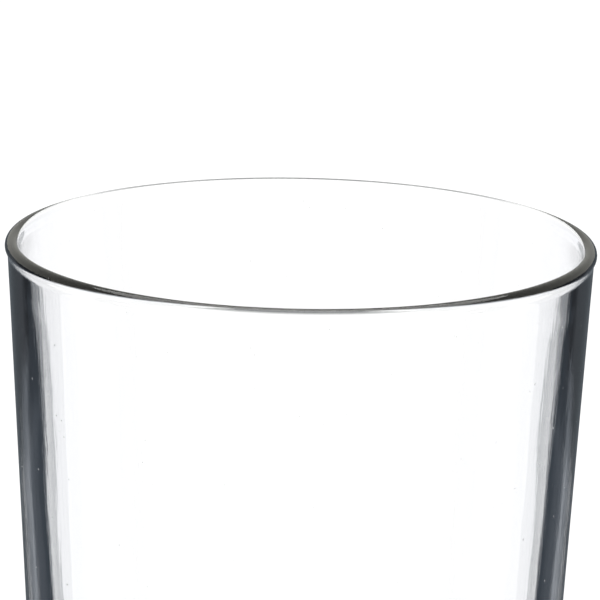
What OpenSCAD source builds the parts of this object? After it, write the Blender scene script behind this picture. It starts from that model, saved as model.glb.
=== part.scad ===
// Straight-sided pint glass: one piece of soda-lime glass, turned about the Z axis.
// The foot stands on z = 0 and the mouth opens upwards. All sizes are in millimetres.

/* [Overall] */
// Height from the table to the top of the rim
height = 150; // [120:1:190]
// Diameter over the rim's bead, the widest place on the glass
rim_d = 88.9; // [80:0.1:108]
// Diameter of the foot, measured where the wall's straight side would meet the table
foot_d = 72.2; // [60:0.1:78]

/* [Wall] */
// Thickness across, where the wall's two straight sides would reach the rim's level
rim_wall = 2.9; // [2.3:0.1:3.6]
// Thickness across, where the wall's two straight sides reach the level of the inside floor
floor_wall = 5.3; // [4:0.1:6]

/* [Rim] */
// Diameter of the fire-polished bead, which is thinner than the wall below it
bead_d = 2.1; // [1.8:0.1:2.5]
// Radius of the curve, inside the mouth, that thins the wall towards the bead
lip_r = 500; // [100:10:900]
// How far the bead stands out from the wall's straight side
bead_proud = 0.3; // [0.1:0.05:0.6]
// Radius of the hollow that blends the bead down into the wall
bead_blend_r = 2.5; // [1:0.1:5]

/* [Base] */
// Thickness of the heavy base, from the table to the inside floor
base_t = 13; // [9:0.5:20]
// Radius of the inside corner between the floor and the wall
floor_corner_r = 7; // [3:0.5:12]
// Radius of the outside corner at the heel
heel_r = 4; // [2:0.5:6]
// Width of the flat ring that the glass stands on
bearing_w = 4; // [2:0.5:6]
// Height of the shallow dome under the base, inside the bearing ring
punt_h = 2.4; // [1:0.1:5]

/* [Hidden] */
$fn = 256;

// Clear glass, with the grey-green cast that shows along its edges
glass_tint = [0.80, 0.86, 0.86, 0.45];

// How far a shared edge is carried into solid glass, so that two outlines overlap
overlap = 0.6;

// The outer side is one straight line, from the foot up to where the bead begins
rim_r = rim_d / 2;
foot_r = foot_d / 2;
wall_rim_r = rim_r - bead_proud;
outer_slope = (wall_rim_r - foot_r) / height;
outer_lean = atan(outer_slope);

// The inner side is another straight line, so the wall thickens evenly on its way down
mouth_r = wall_rim_r - rim_wall;
floor_r = outer_x(base_t) - floor_wall;
inner_slope = (mouth_r - floor_r) / (height - base_t);
inner_lean = atan(inner_slope);

// The bead is a full circle that touches the rim's diameter and the top
bead_r = bead_d / 2;
bead = [rim_r - bead_r, height - bead_r];

// The lip is part of a circle in the glass that touches the inner side, and the bead from outside it
lip_gap = (bead - [mouth_r, height]) * out_of(inner_lean);
lip_drop = sqrt(pow(lip_r - bead_r, 2) - pow(lip_r - lip_gap, 2));
lip = bead + (lip_r - lip_gap) * out_of(inner_lean) - lip_drop * up_along(inner_lean);
lip_to_bead = (bead - lip) / (lip_r - bead_r);
lip_on_bead = lip + lip_r * lip_to_bead;
lip_on_wall = lip - lip_r * out_of(inner_lean);

// The blend under the bead is a circle outside the glass that touches the bead and the wall
bead_gap = (bead - [outer_x(height), height]) * out_of(outer_lean);
blend_drop = sqrt(pow(bead_blend_r + bead_r, 2) - pow(bead_blend_r - bead_gap, 2));
blend = bead + (bead_blend_r - bead_gap) * out_of(outer_lean) - blend_drop * up_along(outer_lean);
blend_on_wall = blend - bead_blend_r * out_of(outer_lean);
blend_on_bead = blend + (bead - blend) * bead_blend_r / (bead_blend_r + bead_r);

// The inside corner is a circle that touches the floor and the inner side
corner = [inner_x(base_t + floor_corner_r) - floor_corner_r / cos(inner_lean), base_t + floor_corner_r];
corner_touch = corner + floor_corner_r * out_of(inner_lean);

// The heel is a circle that touches the table and the outer side
heel = [outer_x(heel_r) - heel_r / cos(outer_lean), heel_r];
heel_touch = heel + heel_r * out_of(outer_lean);

// The dome under the base is part of a sphere that meets the table at the bearing ring's inner edge
punt_edge_r = heel[0] - bearing_w;
punt_r = (pow(punt_edge_r, 2) + pow(punt_h, 2)) / (2 * punt_h);

// Radius of the outer and the inner side at height z
function outer_x(z) = foot_r + outer_slope * z;
function inner_x(z) = floor_r + inner_slope * (z - base_t);

// Directions square to, and up along, a side that leans out by this angle
function out_of(lean) = [cos(lean), -sin(lean)];
function up_along(lean) = [sin(lean), cos(lean)];

module disc_at(centre, r) {
    translate(centre) circle(r = r);
}

// Half of the glass's section, with straight chords where its round corners go
module straight_section() {
    polygon([
        [0, 0],
        [heel[0], 0],
        heel,
        heel_touch,
        [outer_x(bead[1]), bead[1]],
        bead,
        lip_on_wall,
        corner_touch,
        [corner[0], base_t],
        [0, base_t]
    ]);
}

// The little wedge of glass between the bead, the wall and the hollow blend
module bead_blend() {
    difference() {
        polygon([
            blend_on_wall - overlap * out_of(outer_lean),
            blend_on_wall,
            blend_on_bead,
            bead
        ]);
        disc_at(blend, bead_blend_r);
    }
}

// The thinning wall inside the mouth, from the straight inner side up to the bead
module lip_curve() {
    intersection() {
        disc_at(lip, lip_r);
        polygon([
            lip_on_wall - overlap * out_of(inner_lean),
            lip_on_bead + overlap * lip_to_bead,
            bead,
            lip_on_wall + overlap * out_of(inner_lean)
        ]);
    }
}

// The glass itself: heavy base, tapering wall, thinner lip and beaded rim, all one piece
module glass_body() {
    color(glass_tint)
    rotate_extrude()
    difference() {
        union() {
            straight_section();
            disc_at(heel, heel_r);
            disc_at(bead, bead_r);
            bead_blend();
            lip_curve();
        }
        disc_at(corner, floor_corner_r);
        disc_at([0, punt_h - punt_r], punt_r);
    }
}

glass_body();
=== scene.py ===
# %% [markdown]
# # A pint glass in bright-field light
#
# This lesson builds a clear pint glass and lights it the way a studio does. Clear glass has hardly
# any colour of its own: what the eye reads as glass is the room, bent by the walls. So half of the
# lesson is the shape, which has to be smooth and true wherever it bends light, and the other half
# is what stands around it.

# %% Load the frame
import math

import bpy
import numpy as np
from mathutils import Matrix, Vector


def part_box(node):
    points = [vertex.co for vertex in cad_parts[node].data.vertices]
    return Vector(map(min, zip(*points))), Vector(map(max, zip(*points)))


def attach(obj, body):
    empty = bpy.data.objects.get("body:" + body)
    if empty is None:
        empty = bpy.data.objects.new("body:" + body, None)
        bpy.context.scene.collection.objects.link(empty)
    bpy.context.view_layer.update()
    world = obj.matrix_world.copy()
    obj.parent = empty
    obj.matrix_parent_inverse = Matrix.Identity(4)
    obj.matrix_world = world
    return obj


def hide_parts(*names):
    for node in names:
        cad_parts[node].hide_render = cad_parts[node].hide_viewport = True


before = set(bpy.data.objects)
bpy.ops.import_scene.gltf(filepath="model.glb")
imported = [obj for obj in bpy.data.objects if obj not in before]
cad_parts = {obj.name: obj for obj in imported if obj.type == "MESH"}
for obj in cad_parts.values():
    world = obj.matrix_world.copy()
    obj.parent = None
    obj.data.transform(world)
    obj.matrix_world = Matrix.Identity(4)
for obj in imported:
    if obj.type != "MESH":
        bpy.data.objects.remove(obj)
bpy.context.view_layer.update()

# %% [markdown]
# ## Sizes
#
# Blender works in metres and a glassmaker in millimetres, so one named value turns one into the
# other. The height and the rim's diameter are read from the CAD body's own box. The wall, the bead
# and the base lie inside that box and can't be read from it, so they are named here, the way a
# mould drawing names them. FOOT_R, RIM_WALL and FLOOR_WALL are the sizes that the straight sides
# would have at the table, at the rim's level and at the inside floor.

# %% Sizes of the glass
MM = 0.001
BODY = "root"
NODE = "glass_body"

glass_low, glass_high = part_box(NODE)
HEIGHT = glass_high.z - glass_low.z
RIM_R = (glass_high.x - glass_low.x) / 2

FOOT_R = 36.1 * MM
RIM_WALL = 2.9 * MM
FLOOR_WALL = 5.3 * MM
BEAD_R = 1.05 * MM
BEAD_PROUD = 0.3 * MM
BEAD_BLEND_R = 2.5 * MM
LIP_R = 500 * MM
BASE_T = 13 * MM
CORNER_R = 7 * MM
HEEL_R = 4 * MM
BEARING_W = 4 * MM
PUNT_H = 2.4 * MM
print("height and rim radius, mm:", round(HEIGHT / MM, 2), round(RIM_R / MM, 2))

# %% [markdown]
# ## The camera
#
# A long lens looks a little down at the rim, close enough that the mouth fills the frame and the
# foot drops out of it. The glass is round and has no front, so the camera may stand on any side, and
# the flags and cards below are placed from its heading. It hangs about a degree out of level.
#
# A camera looks along its own -Z, with +Y up, so its matrix has three columns: right, up and the
# reverse of forward. Distances are in metres, the lens is in millimetres, and angles are in radians.

# %% Camera values
CAMERA_AZIMUTH = math.radians(225)
CAMERA_DISTANCE = 0.620
CAMERA_ABOVE_RIM = 0.1438
CAMERA_PITCH = -0.2423
CAMERA_ROLL = 0.0195
CAMERA_LENS = 254.1


def heading(azimuth, elevation=0.0):
    """The direction that a camera at this azimuth looks in: along +Y at 0, and along -X at 90 degrees."""
    flat = math.cos(elevation)
    return Vector((-math.sin(azimuth) * flat, math.cos(azimuth) * flat, math.sin(elevation)))


# %% Camera
def make_camera():
    """Stands the camera back from the glass's axis by its distance, and turns it by its pitch and roll."""
    data = bpy.data.cameras.new("studio_camera")
    data.lens = CAMERA_LENS
    camera = bpy.data.objects.new("studio_camera", data)
    bpy.context.scene.collection.objects.link(camera)
    forward = heading(CAMERA_AZIMUTH, CAMERA_PITCH)
    right = forward.cross(Vector((0, 0, 1))).normalized()
    up = right.cross(forward)
    rolled_right = math.cos(CAMERA_ROLL) * right + math.sin(CAMERA_ROLL) * up
    rolled_up = math.cos(CAMERA_ROLL) * up - math.sin(CAMERA_ROLL) * right
    turn = Matrix((rolled_right, rolled_up, -forward)).transposed().to_4x4()
    place = -CAMERA_DISTANCE * heading(CAMERA_AZIMUTH)
    place.z = glass_high.z + CAMERA_ABOVE_RIM
    camera.matrix_world = Matrix.Translation(place) @ turn
    bpy.context.scene.camera = camera
    return camera


camera = make_camera()
print("camera at, m:", [round(x, 3) for x in camera.location])

# %% [markdown]
# ## The outline of the glass
#
# A glass is a body of revolution, so its whole shape is in one outline: half of a section, drawn
# from the middle of the base, round the foot, up the outside, over the rim and down the inside.
# It could be drawn by hand as a curve and given a Screw modifier. Here it is worked out instead,
# from lines and arcs that touch each other, because a wall that bends light shows every kink. Each
# arc's centre follows from the sizes above, so a new size gives a true outline again.

# %% Lines and arcs
def arc(centre, radius, start, end, count):
    """Points at even angles on a circle: the centre plus radius times (cos a, sin a), from start to end."""
    a = np.linspace(start, end, count)
    return np.stack([centre[0] + radius * np.cos(a), centre[1] + radius * np.sin(a)], -1)


def line(start, end, count):
    """Points at even steps on a straight line, with both its ends."""
    t = np.linspace(0, 1, count)[:, None]
    return (1 - t) * np.asarray(start) + t * np.asarray(end)


def out_of(lean):
    """The direction square to a side that leans out by this angle, away from the glass's axis."""
    return np.array([math.cos(lean), -math.sin(lean)])


def up_along(lean):
    """The direction up along a side that leans out by this angle."""
    return np.array([math.sin(lean), math.cos(lean)])


# %% [markdown]
# ## The two sides and the base
#
# The outside is one straight, leaning line, and so is most of the inside, which leans a little more:
# a pressed glass has to slide off its plunger. The heel and the inside corner are arcs that touch
# those lines. The dome under the base keeps the middle off the table, so the glass stands on a ring.

# %% Sides, corner, heel and dome
wall_rim_r = RIM_R - BEAD_PROUD
outer_slope = (wall_rim_r - FOOT_R) / HEIGHT
outer_lean = math.atan(outer_slope)
mouth_r = wall_rim_r - RIM_WALL
floor_r = FOOT_R + outer_slope * BASE_T - FLOOR_WALL
inner_slope = (mouth_r - floor_r) / (HEIGHT - BASE_T)
inner_lean = math.atan(inner_slope)

corner_z = BASE_T + CORNER_R
corner = np.array([floor_r + inner_slope * CORNER_R - CORNER_R / math.cos(inner_lean), corner_z])
heel = np.array([FOOT_R + outer_slope * HEEL_R - HEEL_R / math.cos(outer_lean), HEEL_R])
punt_edge_r = heel[0] - BEARING_W
punt_r = (punt_edge_r**2 + PUNT_H**2) / (2 * PUNT_H)
print("outside leans, degrees:", round(math.degrees(outer_lean), 2))
print("inside leans, degrees:", round(math.degrees(inner_lean), 2))

# %% [markdown]
# ## The bead and the lip
#
# After pressing, the rim is melted smooth in a flame. Surface tension draws it into a round bead,
# and it slumps outwards a little. The bead is thinner than the wall, so over the last three and a
# half centimetres the inside leans away in one very large arc, the lip, which touches the straight
# inside and the bead. A small hollow arc blends the bead into the outside. That hollow is a weak
# lens, and it makes the pale streak under a real rim.

# %% Bead, blend and lip
bead = np.array([RIM_R - BEAD_R, HEIGHT - BEAD_R])
bead_gap = (bead - [wall_rim_r, HEIGHT]) @ out_of(outer_lean)
blend_drop = math.sqrt((BEAD_BLEND_R + BEAD_R) ** 2 - (BEAD_BLEND_R - bead_gap) ** 2)
blend = bead + (BEAD_BLEND_R - bead_gap) * out_of(outer_lean) - blend_drop * up_along(outer_lean)

lip_gap = (bead - [mouth_r, HEIGHT]) @ out_of(inner_lean)
lip_drop = math.sqrt((LIP_R - BEAD_R) ** 2 - (LIP_R - lip_gap) ** 2)
lip = bead + (LIP_R - lip_gap) * out_of(inner_lean) - lip_drop * up_along(inner_lean)
lip_lean = math.atan2(bead[1] - lip[1], lip[0] - bead[0])
print("the lip reaches down, mm:", round(lip_drop / MM, 1))
print("wall under the bead, mm:", round((2 * BEAD_R - BEAD_PROUD) / MM, 2))


# %% [markdown]
# ## The whole outline
#
# Each run of the outline gets as many points as it needs. The bead has the most for its size: it is
# the strongest lens on the glass, and a facet there would show as a break in the rim's line.

# %% Outline
DOME_POINTS = 18
RING_POINTS = 7
HEEL_POINTS = 18
OUTSIDE_POINTS = 62
BLEND_POINTS = 14
BEAD_POINTS = 48
LIP_POINTS = 40
INSIDE_POINTS = 48
CORNER_POINTS = 18
FLOOR_POINTS = 14


def outline():
    """Half of the section as one run of points (radius, height), from the lower pole to the upper one.

    In order: the dome under the base, the ring that the glass stands on, the heel, the outside, the
    hollow under the bead, the bead, the lip, the straight inside, the round corner and the floor.
    """
    dome_half = math.asin(punt_edge_r / punt_r)
    down = -math.pi / 2
    blend_in = math.atan2(bead[1] - blend[1], bead[0] - blend[0])
    heel_touch = heel + HEEL_R * out_of(outer_lean)
    blend_touch = blend - BEAD_BLEND_R * out_of(outer_lean)
    lip_touch = lip - LIP_R * out_of(inner_lean)
    corner_touch = corner + CORNER_R * out_of(inner_lean)
    runs = [
        arc((0, PUNT_H - punt_r), punt_r, -down, -down - dome_half, DOME_POINTS),
        line((punt_edge_r, 0), (heel[0], 0), RING_POINTS),
        arc(heel, HEEL_R, down, -outer_lean, HEEL_POINTS),
        line(heel_touch, blend_touch, OUTSIDE_POINTS),
        arc(blend, BEAD_BLEND_R, math.pi - outer_lean, blend_in, BLEND_POINTS),
        arc(bead, BEAD_R, blend_in - math.pi, math.pi - lip_lean, BEAD_POINTS),
        arc(lip, LIP_R, math.pi - lip_lean, math.pi - inner_lean, LIP_POINTS),
        line(lip_touch, corner_touch, INSIDE_POINTS),
        arc(corner, CORNER_R, -inner_lean, down, CORNER_POINTS),
        line((corner[0], BASE_T), (0, BASE_T), FLOOR_POINTS),
    ]
    return np.concatenate([runs[0], *(run[1:] for run in runs[1:])])


section = outline()
print("outline points:", len(section))
print("its box, mm:", np.round(section.min(0) / MM, 3), np.round(section.max(0) / MM, 3))

# %% [markdown]
# ## Turning the outline into glass
#
# The outline is carried round the axis on a grid: one parameter runs along the outline, and the
# other one round the glass. Both ends of the outline lie on the axis, so each is a single point with
# a fan of triangles round it, and the last column of faces joins the first one. The skin has no
# seam and no hole, which a glass material needs: a ray that goes in has to find its way out.

# %% Grid and mesh helpers
def lathe_faces(rows, around):
    """Faces of a closed lathe grid: quads between its rings, and a fan of triangles at each pole.

    Vertex 0 is the lower pole, then come the rings in the outline's order, then the upper pole.
    """
    j = np.arange(around)
    nxt = (j + 1) % around
    i = np.arange(rows - 1)[:, None] * around + 1
    quads = np.stack([i + j, i + nxt, i + around + nxt, i + around + j], -1).reshape(-1, 4)
    last = 1 + (rows - 1) * around
    lower = np.stack([np.zeros_like(j), 1 + nxt, 1 + j], -1)
    upper = np.stack([np.full_like(j, last + around), last + j, last + nxt], -1)
    return quads, np.concatenate([lower, upper])


def mesh_from_arrays(name, points, quads, triangles):
    """A Blender mesh from whole arrays of points and faces, shaded smooth."""
    mesh = bpy.data.meshes.new(name)
    loops = np.concatenate([quads.ravel(), triangles.ravel()])
    sizes = np.concatenate([np.full(len(quads), 4), np.full(len(triangles), 3)])
    starts = np.concatenate([[0], np.cumsum(sizes)[:-1]])
    mesh.vertices.add(len(points))
    mesh.vertices.foreach_set("co", points.astype(np.float32).ravel())
    mesh.loops.add(len(loops))
    mesh.loops.foreach_set("vertex_index", loops.astype(np.int32))
    mesh.polygons.add(len(sizes))
    mesh.polygons.foreach_set("loop_start", starts.astype(np.int32))
    mesh.polygons.foreach_set("loop_total", sizes.astype(np.int32))
    mesh.polygons.foreach_set("use_smooth", np.ones(len(sizes), bool))
    mesh.update(calc_edges=True)
    mesh.validate()
    return mesh


def add_object(name, mesh):
    """Puts a mesh into the scene as an object at the origin, unturned and unscaled."""
    thing = bpy.data.objects.new(name, mesh)
    bpy.context.scene.collection.objects.link(thing)
    return thing


# %% [markdown]
# ## What the mould leaves behind
#
# A perfect lathe looks like a drawing of a glass. A pressed one cooled against iron, and its wall
# varies by a few hundredths of a millimetre: slow swells round the glass, and long ripples where it
# slid along the plunger. They are too small to see as shape, but each moves the dark and bright
# edges of the room by a hair's breadth, and that is what makes the edges look like glass.
#
# Both are made of a few cosines. Each runs round the glass and drifts with height, so that no two
# heights are alike. All of it is taken off the glass and none is added, so the skin never leaves the
# CAD body's box, and it fades out towards the bead and towards the foot.

# %% Swells and ripples
OUTSIDE_SWELL = 0.020 * MM
INSIDE_SWELL = 0.060 * MM
RIPPLE = 0.010 * MM
INSIDE_TURN = 1
SWELL_WAVES = [(2, 3.1, 0), (3, -5.3, 1), (5, 9.7, 2)]
RIPPLE_WAVES = [(23, 4), (9, -17)]
FOOT_FADE = 12 * MM
RIM_FADE = 4 * MM


def smooth_step(x):
    """0 below 0, 1 above 1, and 3x^2 - 2x^3 between them."""
    x = np.clip(x, 0, 1)
    return x * x * (3 - 2 * x)


def swell(angle, z):
    """A slow wave from 0 to 1: the mean of three cosines, which have 2, 3 and 5 waves round the glass.

    Each row of SWELL_WAVES is a count of waves, its drift with height and its start, in radians.
    """
    rise = z / HEIGHT
    waves = sum(np.cos(count * angle + drift * rise + start) for count, drift, start in SWELL_WAVES)
    return 0.5 + waves / (2 * len(SWELL_WAVES))


def ripple(angle, z):
    """A finer wave from 0 to 1: two sets of long slanting ripples, 23 and 9 round the glass, multiplied.

    Each row of RIPPLE_WAVES is a count of ripples and their drift with height, in radians.
    """
    rise = z / HEIGHT
    fine, broad = [np.cos(count * angle + drift * rise) for count, drift in RIPPLE_WAVES]
    return 0.5 + 0.5 * fine * broad


def wall_mask(z):
    """1 on the straight walls, fading to 0 towards the heel and towards the hollow under the bead."""
    low = smooth_step((z - HEEL_R) / FOOT_FADE)
    high = smooth_step((HEIGHT - 2 * BEAD_R - BEAD_BLEND_R - z) / RIM_FADE)
    return low * high


# %% The glass
AROUND = 352


def glass_points(profile):
    """Points of the glass: radius r turned by the angle a is (r cos a, r sin a, z), less the swells.

    To take glass off, the outside moves inwards and the inside moves outwards. A line half-way through
    the wall tells the two apart. The inside's swell is turned, so the two don't follow each other.
    """
    a = np.linspace(0, 2 * math.pi, AROUND, endpoint=False)[None, :]
    r = profile[1:-1, 0][:, None]
    z = profile[1:-1, 1][:, None]
    middle = 0.5 * (FOOT_R + outer_slope * z + floor_r + inner_slope * (z - BASE_T))
    inside = (r < middle) & (z > corner_z)
    outside = (r > middle) & (z > HEEL_R)
    off_outside = OUTSIDE_SWELL * swell(a, z) + RIPPLE * ripple(a, z)
    off_inside = INSIDE_SWELL * swell(a + INSIDE_TURN, z) + RIPPLE * ripple(a, z)
    radius = r - (off_outside * outside - off_inside * inside) * wall_mask(z)
    rings = np.stack([radius * np.cos(a), radius * np.sin(a), np.broadcast_to(z, radius.shape)], -1)
    poles = [(0, 0, profile[0, 1]), (0, 0, profile[-1, 1])]
    return np.concatenate([poles[:1], rings.reshape(-1, 3), poles[1:]])


quads, triangles = lathe_faces(len(section) - 2, AROUND)
skin = mesh_from_arrays("pint_glass", glass_points(section), quads, triangles)
glass = add_object("pint_glass", skin)
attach(glass, BODY)
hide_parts(NODE)
print("triangles:", 2 * len(quads) + len(triangles))

# %% [markdown]
# ## Glass as a material
#
# Clear glass is one shader: full Transmission, no Metallic, and an index of refraction of 1.52,
# which soda-lime glass has. Its faint grey-green comes from iron in the sand and grows with the
# path through the wall, so it belongs to the volume, not to the surface.
#
# Materials are trees of nodes. Two helpers keep them short: one makes an empty node group, and the
# other adds a node with its title, its place and its values.

# %% Node helpers
def new_group(name, inputs, outputs):
    """An empty node group with these sockets. Inputs have a name, a type and a default value."""
    group = bpy.data.node_groups.new(name, "ShaderNodeTree")
    for label, kind, value in inputs:
        group.interface.new_socket(label, in_out="INPUT", socket_type=kind).default_value = value
    for label, kind in outputs:
        group.interface.new_socket(label, in_out="OUTPUT", socket_type=kind)
    return group


def add_node(tree, kind, title, place, **values):
    """A node with a title and a place, and its input sockets set by name."""
    node = tree.nodes.new(kind)
    node.label = title
    node.location = place
    for label, value in values.items():
        node.inputs[label.replace("_", " ")].default_value = value
    return node


# %% [markdown]
# ## Wear on the surface
#
# The surface isn't quite clean. A node group gathers the wear that other glasses may share: soft
# patches where fingers and cloths have been, a little dust, and hairline draw marks that run up the
# wall. Patches and dust make the skin rougher. The draw marks only tilt it a little, as a bump.

# %% Smudges and dust
PATCH_SCALE = 38
PATCH_NONE = 0.58
PATCH_FULL = 0.78
GRAIN_SCALE = 260
GRAIN_NONE = 0.07
GRAIN_FULL = 0.04


def smudges(group, spot, roughness):
    """Soft patches: only the peaks of a noise, times the roughness that a smudge has."""
    patches = add_node(group, "ShaderNodeTexNoise", "Cloth and finger patches", (-850, 350),
                       Scale=PATCH_SCALE, Detail=3)
    peaks = add_node(group, "ShaderNodeMapRange", "Only the strongest patches", (-600, 350),
                     From_Min=PATCH_NONE, From_Max=PATCH_FULL)
    smudge = add_node(group, "ShaderNodeMath", "Smudge", (-350, 350))
    smudge.operation = "MULTIPLY"
    group.links.new(spot, patches.inputs["Vector"])
    group.links.new(patches.outputs["Fac"], peaks.inputs["Value"])
    group.links.new(peaks.outputs["Result"], smudge.inputs[0])
    group.links.new(roughness, smudge.inputs[1])
    return smudge.outputs["Value"]


def dust_grains(group, spot, roughness):
    """Specks: 1 close to the middle of each Voronoi cell and 0 farther off, times the roughness of dust."""
    grains = add_node(group, "ShaderNodeTexVoronoi", "Dust grains", (-850, 50), Scale=GRAIN_SCALE)
    size = add_node(group, "ShaderNodeMapRange", "Grain size", (-600, 50),
                    From_Min=GRAIN_NONE, From_Max=GRAIN_FULL)
    dust = add_node(group, "ShaderNodeMath", "Dust", (-350, 50))
    dust.operation = "MULTIPLY"
    group.links.new(spot, grains.inputs["Vector"])
    group.links.new(grains.outputs["Distance"], size.inputs["Value"])
    group.links.new(size.outputs["Result"], dust.inputs[0])
    group.links.new(roughness, dust.inputs[1])
    return dust.outputs["Value"]


# %% Draw marks
HAIR_SCALE = 1500
HAIR_STRETCH = (1, 1, 0.04)


def draw_marks(group, spot, depth):
    """A normal from hairlines: a fine noise, stretched 25 times up the wall, as the height of a bump."""
    stretch = add_node(group, "ShaderNodeMapping", "Long up the wall", (-850, -250), Scale=HAIR_STRETCH)
    hairs = add_node(group, "ShaderNodeTexNoise", "Draw marks", (-600, -250), Scale=HAIR_SCALE, Detail=2)
    bump = add_node(group, "ShaderNodeBump", "Hairline relief", (-100, -250), Strength=1)
    group.links.new(spot, stretch.inputs["Vector"])
    group.links.new(stretch.outputs["Vector"], hairs.inputs["Vector"])
    group.links.new(hairs.outputs["Fac"], bump.inputs["Height"])
    group.links.new(depth, bump.inputs["Distance"])
    return bump.outputs["Normal"]


# %% Worn glass skin
SMUDGE_ROUGHNESS = 0.03
DUST_ROUGHNESS = 0.30
DRAW_DEPTH = 0.004 * MM


def worn_skin():
    """A group that turns object coordinates into the roughness and the normal of handled glass."""
    group = new_group(
        "worn_glass_skin",
        [("Smudge Roughness", "NodeSocketFloat", SMUDGE_ROUGHNESS),
         ("Dust Roughness", "NodeSocketFloat", DUST_ROUGHNESS),
         ("Draw Depth", "NodeSocketFloat", DRAW_DEPTH)],
        [("Roughness", "NodeSocketFloat"), ("Normal", "NodeSocketVector")],
    )
    given = add_node(group, "NodeGroupInput", "What the material sets", (-1100, 0))
    out = add_node(group, "NodeGroupOutput", "What the shader gets", (700, 0))
    spot = add_node(group, "ShaderNodeTexCoord", "Place on the glass", (-1100, 300)).outputs["Object"]
    both = add_node(group, "ShaderNodeMath", "Smudge or dust", (-100, 200))
    both.operation = "MAXIMUM"
    group.links.new(smudges(group, spot, given.outputs["Smudge Roughness"]), both.inputs[0])
    group.links.new(dust_grains(group, spot, given.outputs["Dust Roughness"]), both.inputs[1])
    group.links.new(both.outputs["Value"], out.inputs["Roughness"])
    group.links.new(draw_marks(group, spot, given.outputs["Draw Depth"]), out.inputs["Normal"])
    return group


# %% [markdown]
# ## Clear glass
#
# Now the material itself. The worn skin sets the roughness and the normal of the surface, and Volume
# Absorption goes straight into the material's Volume socket.

# %% Clear glass
IOR = 1.52
TINT = (0.66, 0.78, 0.78)
TINT_DENSITY = 3.5


def clear_glass():
    """Soda-lime glass: a Principled BSDF with full transmission, the worn skin, and absorption inside."""
    look = bpy.data.materials.new("clear_glass")
    look.use_nodes = True
    tree = look.node_tree
    shader = tree.nodes["Principled BSDF"]
    shader.inputs["Base Color"].default_value = (1, 1, 1, 1)
    shader.inputs["Metallic"].default_value = 0
    shader.inputs["IOR"].default_value = IOR
    shader.inputs["Transmission Weight"].default_value = 1
    skin = add_node(tree, "ShaderNodeGroup", "Worn skin", (-300, 200))
    skin.node_tree = worn_skin()
    tree.links.new(skin.outputs["Roughness"], shader.inputs["Roughness"])
    tree.links.new(skin.outputs["Normal"], shader.inputs["Normal"])
    inside = add_node(tree, "ShaderNodeVolumeAbsorption", "Iron in the glass", (0, -400),
                      Color=(*TINT, 1), Density=TINT_DENSITY)
    tree.links.new(inside.outputs["Volume"], tree.nodes["Material Output"].inputs["Volume"])
    return look


glass.data.materials.append(clear_glass())
print("material:", glass.data.materials[0].name)

# %% [markdown]
# ## Does the skin match the CAD body?
#
# Both are closed, so the volume inside each one can be summed over its triangles: each adds a sixth
# of the determinant of its three corners. The new skin should hold the same glass, less the swells.
# What the finished glass can hold comes from the outline alone, as a stack of cut cones.

# %% Volumes
def volume_of(mesh):
    """Volume inside a closed mesh: the sum of a . (b x c) / 6 over its triangles."""
    mesh.calc_loop_triangles()
    spots = np.zeros(3 * len(mesh.vertices))
    mesh.vertices.foreach_get("co", spots)
    corners = np.zeros(3 * len(mesh.loop_triangles), np.int32)
    mesh.loop_triangles.foreach_get("vertices", corners)
    a, b, c = spots.reshape(-1, 3)[corners.reshape(-1, 3)].transpose(1, 0, 2)
    return float(np.einsum("ij,ij->i", a, np.cross(b, c)).sum() / 6)


def brim_volume(profile):
    """What the glass holds: cut cones between the inside's points, pi h (r1^2 + r1 r2 + r2^2) / 3 each."""
    inside = profile[np.argmax(profile[:, 1]):]
    r1, r2 = inside[:-1, 0], inside[1:, 0]
    return float((math.pi / 3 * -np.diff(inside[:, 1]) * (r1**2 + r1 * r2 + r2**2)).sum())


ML = 1e-6
print("CAD body, ml:", round(volume_of(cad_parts[NODE].data) / ML, 2))
print("new skin, ml:", round(volume_of(glass.data) / ML, 2))
print("holds to the brim, ml:", round(brim_volume(section) / ML, 1))

# %% [markdown]
# ## The studio
#
# White light on a clear glass shows almost nothing. Bright-field light is the answer: the background
# is evenly white, and dark flags stand close beside the glass, on both sides. Where the wall turns
# away from the camera, it bends the view outwards to the flags and draws the glass's edges dark.
#
# The flags and the reflection cards are stage pieces that give off light of their own. The camera
# never sees them: only light that has passed through the glass, or been mirrored by it, meets them.
#
# A flag with a sharp edge would draw a sharp edge inside the glass, so the flags are graded. A flag
# curves round the glass at one radius, so the cosine of the turn between a point on it and the
# heading it faces is p . d / radius, one Vector Math node. That cosine feeds a Color Ramp. The painted
# shadow card on the floor is graded by its distance from one point instead, which is one Vector Math
# node too.

# %% Glowing materials
def plain_glow(name, colour):
    """A material that gives off one even colour, as an evenly lit card does."""
    look = bpy.data.materials.new(name)
    look.use_nodes = True
    tree = look.node_tree
    tree.nodes.clear()
    out = tree.nodes.new("ShaderNodeOutputMaterial")
    glow = tree.nodes.new("ShaderNodeEmission")
    glow.inputs["Color"].default_value = (*colour, 1)
    tree.links.new(glow.outputs["Emission"], out.inputs["Surface"])
    return look


def ramp_glow(name, operation, vector, stops):
    """A glow whose colour is a ramp over one measure of the place p: p . vector, or |p - vector|.

    The operation is the Vector Math node's, and each stop is a measure and the colour there.
    """
    look = plain_glow(name, (1, 1, 1))
    tree = look.node_tree
    spot = add_node(tree, "ShaderNodeTexCoord", "Place on the card", (-900, 0))
    measure = add_node(tree, "ShaderNodeVectorMath", "Measure", (-700, 0))
    measure.operation = operation
    measure.inputs[1].default_value = vector
    ramp = add_node(tree, "ShaderNodeValToRGB", "Colour at the measure", (-500, 0))
    marks = ramp.color_ramp.elements
    while len(marks) < len(stops):
        marks.new(0.5)
    for mark, (position, colour) in zip(marks, sorted(stops)):
        mark.position = position
        mark.color = (*colour, 1)
    tree.links.new(spot.outputs["Object"], measure.inputs[0])
    tree.links.new(measure.outputs["Value"], ramp.inputs["Fac"])
    tree.links.new(ramp.outputs["Color"], tree.nodes["Emission"].inputs["Color"])
    return look


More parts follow.
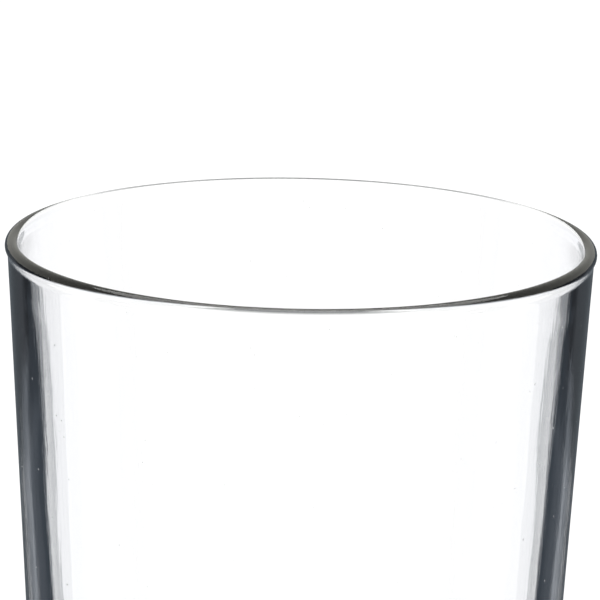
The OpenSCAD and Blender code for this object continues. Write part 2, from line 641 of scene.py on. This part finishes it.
def graded_glow(name, facing, radius, stops):
    """A glow graded by cos(turn) = p . d / radius. Each stop is a turn from the heading d, in degrees."""
    cosines = [(math.cos(math.radians(turn)), colour) for turn, colour in stops]
    return ramp_glow(name, "DOT_PRODUCT", heading(math.radians(facing)) / radius, cosines)


# %% [markdown]
# ## Surfaces for the stage
#
# All the stage pieces are made by one function, from a grid of two parameters. A card is a strip of
# a cylinder round the glass, and a flat card is a piece of a ring at one height. In the Object
# properties, under Ray Visibility, each one is told which kind of light may meet it.

# %% Stage surfaces
stage_pieces = []


def sheet_of(name, across, up, place, look):
    """A stage surface on a grid of two parameters from 0 to 1, whose points are place(u, v)."""
    u, v = np.meshgrid(np.linspace(0, 1, across + 1), np.linspace(0, 1, up + 1))
    i = np.arange(up)[:, None] * (across + 1) + np.arange(across)
    faces = np.stack([i, i + 1, i + across + 2, i + across + 1], -1).reshape(-1, 4)
    mesh = mesh_from_arrays(name, place(u, v).reshape(-1, 3), faces, np.zeros((0, 3), int))
    thing = add_object(name, mesh)
    thing.data.materials.append(look)
    stage_pieces.append(thing)
    return thing


def seen_by(thing, transmission=False, glossy=False):
    """Hides a stage piece from all but the light that glass bends (transmission) or mirrors (glossy)."""
    thing.visible_camera = False
    thing.visible_diffuse = False
    thing.visible_shadow = False
    thing.visible_volume_scatter = False
    thing.visible_transmission = transmission
    thing.visible_glossy = glossy


# %% Cards
CARD_ACROSS = 64
CARD_UP = 8


def card(name, edges, radius, low, high, look, **seen):
    """A card curved round the glass: its upright edges are camera headings t, in degrees.

    Its points are (-radius sin t, radius cos t, z), with z from low to high.
    """
    def place(u, v):
        turn = np.radians(edges[0] + (edges[1] - edges[0]) * u)
        z = low + (high - low) * v
        return np.stack([-radius * np.sin(turn), radius * np.cos(turn), z], -1)

    seen_by(sheet_of(name, CARD_ACROSS, CARD_UP, place, look), **seen)


def flat_card(name, edges, inner, outer, z, look, **seen):
    """A level card at height z: points (-r sin t, r cos t, z) between two headings t and two radii r."""
    def place(u, v):
        turn = np.radians(edges[0] + (edges[1] - edges[0]) * u)
        r = inner + (outer - inner) * v
        return np.stack([-r * np.sin(turn), r * np.cos(turn), z + 0 * r], -1)

    seen_by(sheet_of(name, CARD_ACROSS, CARD_UP, place, look), **seen)


# %% [markdown]
# ## Floor and background
#
# The floor is a wide pale disc, and the world is an even white. It is a little brighter than full
# white, so that the floor prints as white as well. The view transform is the plain one: a white
# studio should print as white, and a film-like curve would turn it grey.

# %% Floor and world
FLOOR_R = 8.0
FLOOR_PALE = 0.92
FLOOR_ROUGHNESS = 0.8
FLOOR_RINGS = 8
FLOOR_SPOKES = 64
WORLD_WHITE = 1.2


def floor_points(u, v):
    """A disc: the radius times u, turned by the whole circle times v."""
    turn = 2 * math.pi * v
    return np.stack([FLOOR_R * u * np.cos(turn), FLOOR_R * u * np.sin(turn), 0 * u], -1)


floor_look = bpy.data.materials.new("pale_floor")
floor_look.use_nodes = True
paint = floor_look.node_tree.nodes["Principled BSDF"]
paint.inputs["Base Color"].default_value = (FLOOR_PALE, FLOOR_PALE, FLOOR_PALE, 1)
paint.inputs["Roughness"].default_value = FLOOR_ROUGHNESS
sheet_of("floor", FLOOR_RINGS, FLOOR_SPOKES, floor_points, floor_look)

world = bpy.data.worlds.new("studio")
world.use_nodes = True
world.node_tree.nodes["Background"].inputs["Color"].default_value = (1, 1, 1, 1)
world.node_tree.nodes["Background"].inputs["Strength"].default_value = WORLD_WHITE
bpy.context.scene.world = world
bpy.context.scene.view_settings.view_transform = "Standard"
bpy.context.scene.view_settings.look = "None"
print("stage pieces:", len(stage_pieces))

# %% [markdown]
# ## The flags
#
# Near the glass's edge the thick wall traps the view: light that enters there can't leave through
# the inside, so it runs round within the wall and comes out well to the side. That is the broad dark
# band along each edge. The flags stand very near the glass, because then this light, which leaves
# from the edge, meets the black part, and light that came straight through the wall meets the rest.
# Between black and white the flags have a grey step, and it draws the grey band beside the dark one.
# Each stop below is a turn from the camera's heading, in degrees, and the colour of the flag there.

# %% Near flags
MAIN = math.degrees(CAMERA_AZIMUTH)
TALL = 0.4
NEAR_R = 0.06
NEAR_FIRST = 30
NEAR_LAST = 86

BLACK = (0.036, 0.045, 0.056)
STEP_GREY = (0.22, 0.24, 0.27)
PALE = (0.90, 0.91, 0.95)
WHITE = (1.10, 1.10, 1.10)
NEAR_STOPS = [
    (88, BLACK),
    (69, BLACK),
    (67, STEP_GREY),
    (57.5, STEP_GREY),
    (56, PALE),
    (NEAR_FIRST, WHITE),
]
near_look = graded_glow("near_flag", MAIN, NEAR_R, NEAR_STOPS)
for side, sign in [("left", 1), ("right", -1)]:
    edges = (MAIN + sign * NEAR_FIRST, MAIN + sign * NEAR_LAST)
    card("near_flag_" + side, edges, NEAR_R, 0, TALL, near_look, transmission=True)

# %% [markdown]
# ## Flags for the other sides
#
# Three more flags, farther off, do the same work for cameras on the glass's other sides. Each has a
# name, the heading of its middle and its half width, in degrees, and fades to white at both edges.

# %% Far flags
FAR_R = 0.45
FAR_TALL = 0.6
FAR_DARK = (0.06, 0.07, 0.085)
FAR_FADE = 6
FAR_FLAGS = [("far_flag_a", 45, 28), ("far_flag_b", 121, 14), ("far_flag_c", 330, 13)]
for name, facing, half in FAR_FLAGS:
    stops = [(half, WHITE), (half - FAR_FADE, FAR_DARK), (0, FAR_DARK)]
    far_look = graded_glow(name, facing, FAR_R, stops)
    card(name, (facing - half, facing + half), FAR_R, 0, FAR_TALL, far_look, transmission=True)
print("stage pieces:", len(stage_pieces))

# %% [markdown]
# ## Cards for reflections
#
# Glass mirrors a little of the room as well, and most of all at its edges. A low card round the far
# side gives the dark bands their slate colour, lighter along the very edge. A taller grey card and a
# bright ceiling are mirrored by the rim alone.

# %% Reflection cards
MIRROR_R = 0.24
MIRROR_SPLIT = 0.16
MIRROR_HALF = 80

SLATE_DARK = (0.10, 0.11, 0.13)
SLATE_MIDDLE = (0.14, 0.16, 0.18)
SLATE_PALE = (0.20, 0.22, 0.25)
MIRROR_STOPS = [
    (MIRROR_HALF, SLATE_DARK),
    (52, SLATE_DARK),
    (47, SLATE_PALE),
    (36, SLATE_MIDDLE),
    (0, SLATE_MIDDLE),
]
low_look = graded_glow("mirror_low", MAIN, MIRROR_R, MIRROR_STOPS)
low_edges = (MAIN - MIRROR_HALF, MAIN + MIRROR_HALF)
card("mirror_low", low_edges, MIRROR_R, 0, MIRROR_SPLIT, low_look, glossy=True)

ALL_ROUND = (0, 360)
RIM_GREY = (0.60, 0.60, 0.56)
CEILING = (3.0, 3.0, 2.9)
high_look = plain_glow("mirror_high", RIM_GREY)
card("mirror_high", ALL_ROUND, MIRROR_R, MIRROR_SPLIT, TALL, high_look, glossy=True)
ceiling_look = plain_glow("mirror_ceiling", CEILING)
flat_card("mirror_ceiling", ALL_ROUND, 0, MIRROR_R, TALL, ceiling_look, glossy=True)

# %% [markdown]
# ## Painted shadows on the floor
#
# The bead of the far rim is a strong lens that looks steeply down, at the floor just behind the
# foot. A dark card there is a painted soft shadow on the floor, and it becomes the thin dark line
# along the far rim. Other cameras can see the same card through the wall, so it fades to white all
# round, as a painted soft shadow does. A grey disc under the base is a painted contact shadow, and it
# is what the thick bottom shows.

# %% Floor cards
FLOOR_CARD_Z = 0.001
FLOOR_CARD_HALF = 75
FLOOR_CARD_IN = 0.046
FLOOR_CARD_OUT = 0.19
FLOOR_SPOT_R = 0.07
# The dark tone and the stops of a painted soft shadow on the floor behind the foot: darkest near its
# centre, white by its edge.
FLOOR_SHADOW_DARK = (0.07, 0.08, 0.09)
FLOOR_SHADOW_STOPS = [(0.03, FLOOR_SHADOW_DARK), (0.115, WHITE)]

# A glowing card, seen only through the glass, that paints a soft shadow on the floor behind the foot.
floor_shadow_centre = FLOOR_SPOT_R * heading(math.radians(MAIN))
painted_floor_shadow = ramp_glow("painted_floor_shadow", "DISTANCE", floor_shadow_centre, FLOOR_SHADOW_STOPS)
floor_edges = (MAIN - FLOOR_CARD_HALF, MAIN + FLOOR_CARD_HALF)
flat_card("floor_shadow_card", floor_edges, FLOOR_CARD_IN, FLOOR_CARD_OUT, FLOOR_CARD_Z, painted_floor_shadow,
          transmission=True)

# A painted contact shadow: a grey glowing disc under the foot, seen only through the glass and mirrored in
# it.
BASE_CARD_R = 0.034
BASE_CARD_Z = 0.0005
CONTACT_SHADOW_GREY = (0.30, 0.30, 0.30)
contact_shadow_look = plain_glow("painted_contact_shadow", CONTACT_SHADOW_GREY)
flat_card("contact_shadow_card", ALL_ROUND, 0, BASE_CARD_R, BASE_CARD_Z, contact_shadow_look, transmission=True, glossy=True)
print("stage pieces:", len(stage_pieces))
